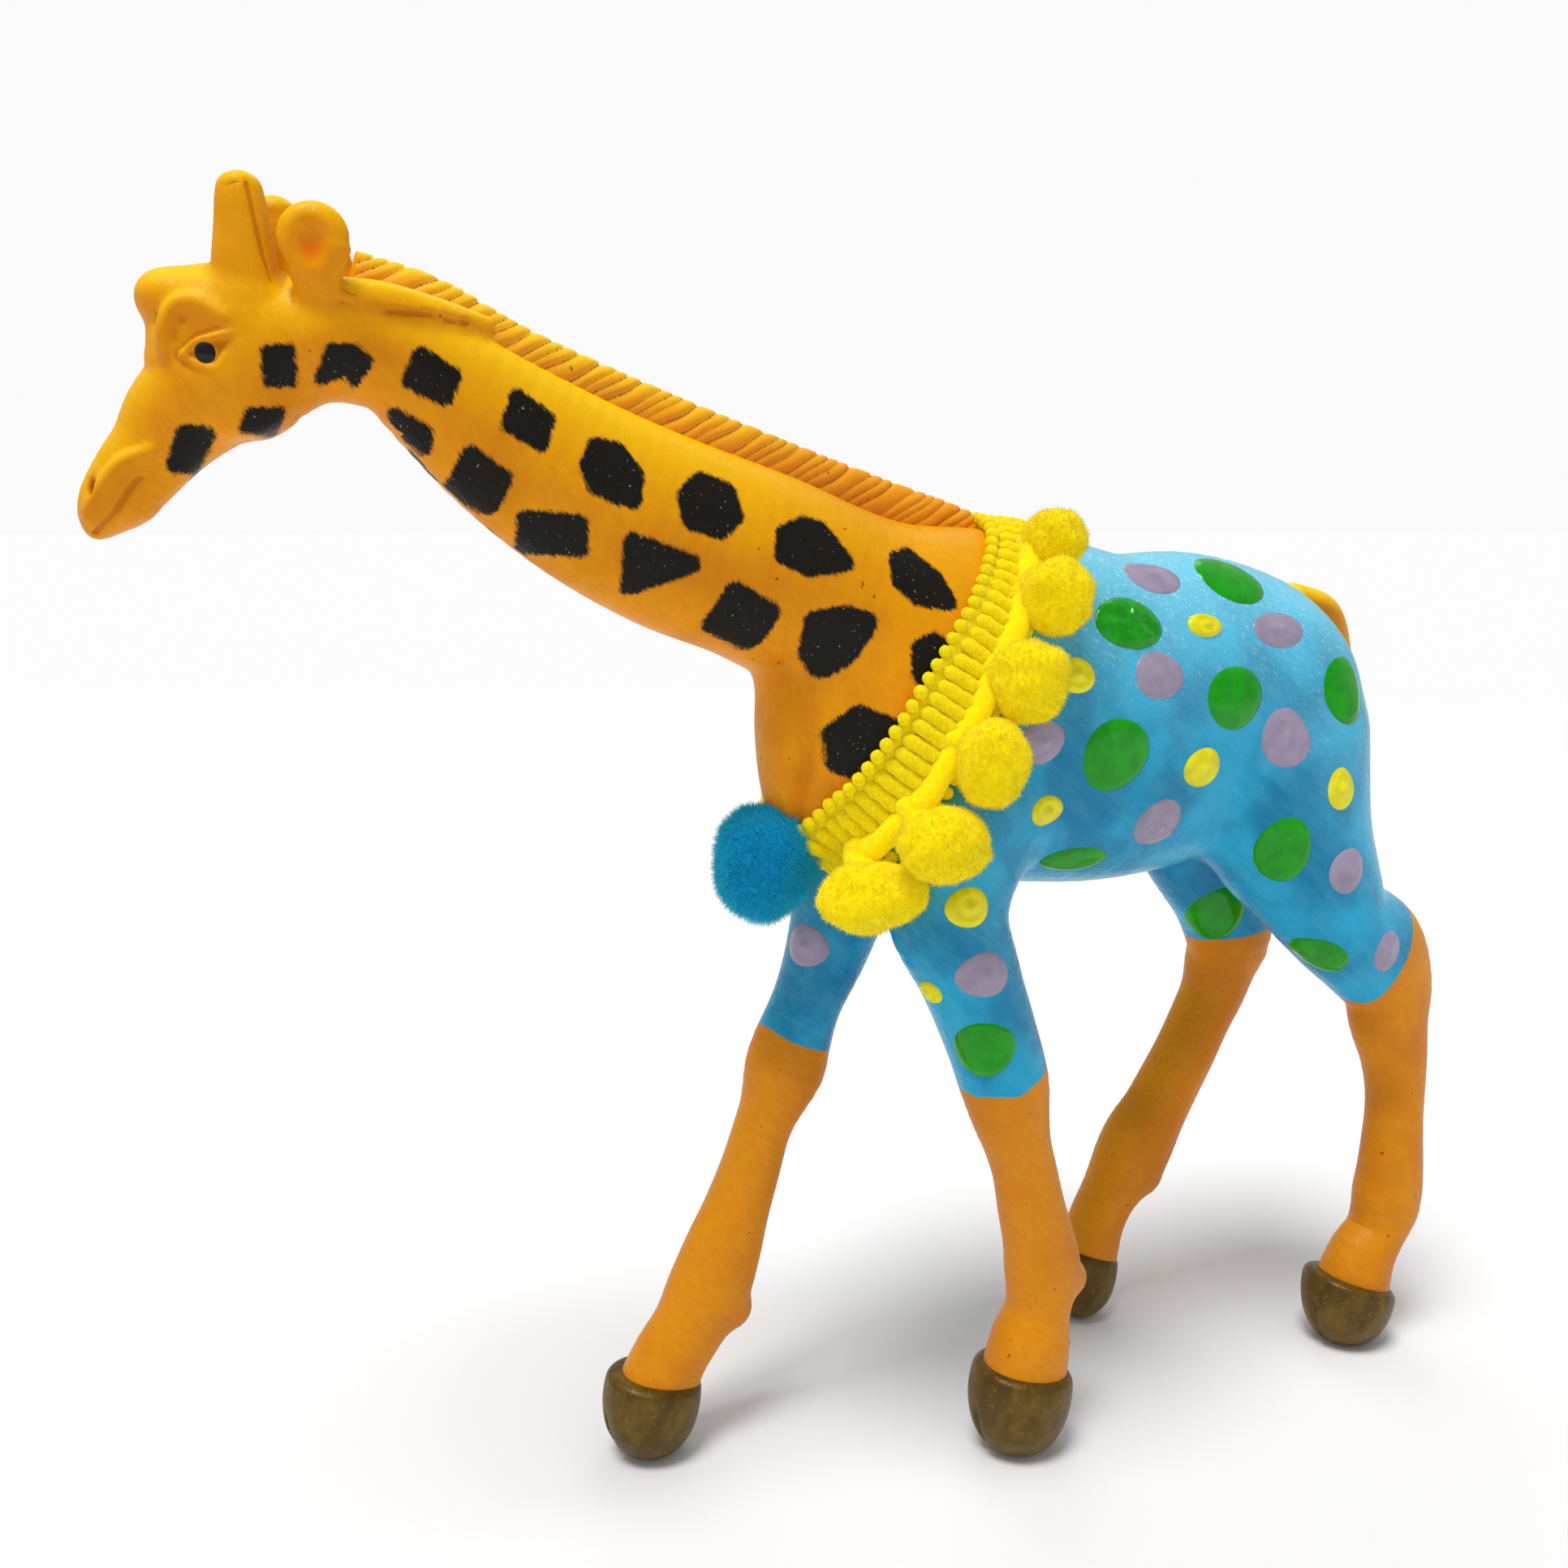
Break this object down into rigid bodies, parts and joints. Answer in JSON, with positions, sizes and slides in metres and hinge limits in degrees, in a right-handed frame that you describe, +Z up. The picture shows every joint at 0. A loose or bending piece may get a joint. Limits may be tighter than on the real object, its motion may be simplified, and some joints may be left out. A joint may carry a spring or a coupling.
{
  "type": "giraffe figurine",
  "caption": "Small standing giraffe figurine with a lowered neck, horns, ears, mane and tail, painted in spots, with a pompom trim collar.",
  "frame": {"origin": "middle of the footprint of the whole figure, on the surface it stands on", "axes": "+Z up, +X the giraffe's left side, -Y the way the giraffe faces"},
  "size_m": [0.0518, 0.1935, 0.1695],
  "materials": {
    "orange_paint": "brushed orange paint over moulded fur",
    "mane_paint": "darker orange paint over slanted grooves",
    "blue_paint": "light blue paint with raised paint dots",
    "bronze_paint": "bronze hoof paint",
    "braid_yarn": "ribbed yellow trim braid",
    "pom_yarn": "felted yellow pompom",
    "chest_yarn": "fluffy blue pompom"
  },
  "bodies": {
    "root": {"chest_pom": "chest_yarn", "collar_braid": "braid_yarn", "ear_left": "orange_paint", "ear_right": "orange_paint", "head": "orange_paint", "hoof_front_left": "bronze_paint", "hoof_front_right": "bronze_paint", "hoof_rear_left": "bronze_paint", "hoof_rear_right": "bronze_paint", "horn_left": "orange_paint", "horn_right": "orange_paint", "leg_front_left": "orange_paint", "leg_front_right": "orange_paint", "leg_rear_left": "orange_paint", "leg_rear_right": "orange_paint", "mane": "mane_paint", "neck": "orange_paint", "pom_left_1": "pom_yarn", "pom_left_2": "pom_yarn", "pom_left_3": "pom_yarn", "pom_left_4": "pom_yarn", "pom_left_5": "pom_yarn", "pom_left_6": "pom_yarn", "pom_right_1": "pom_yarn", "pom_right_2": "pom_yarn", "pom_right_3": "pom_yarn", "pom_right_4": "pom_yarn", "pom_right_5": "pom_yarn", "pom_right_6": "pom_yarn", "tail": "orange_paint", "torso": "blue_paint"}
  },
  "joints": []
}
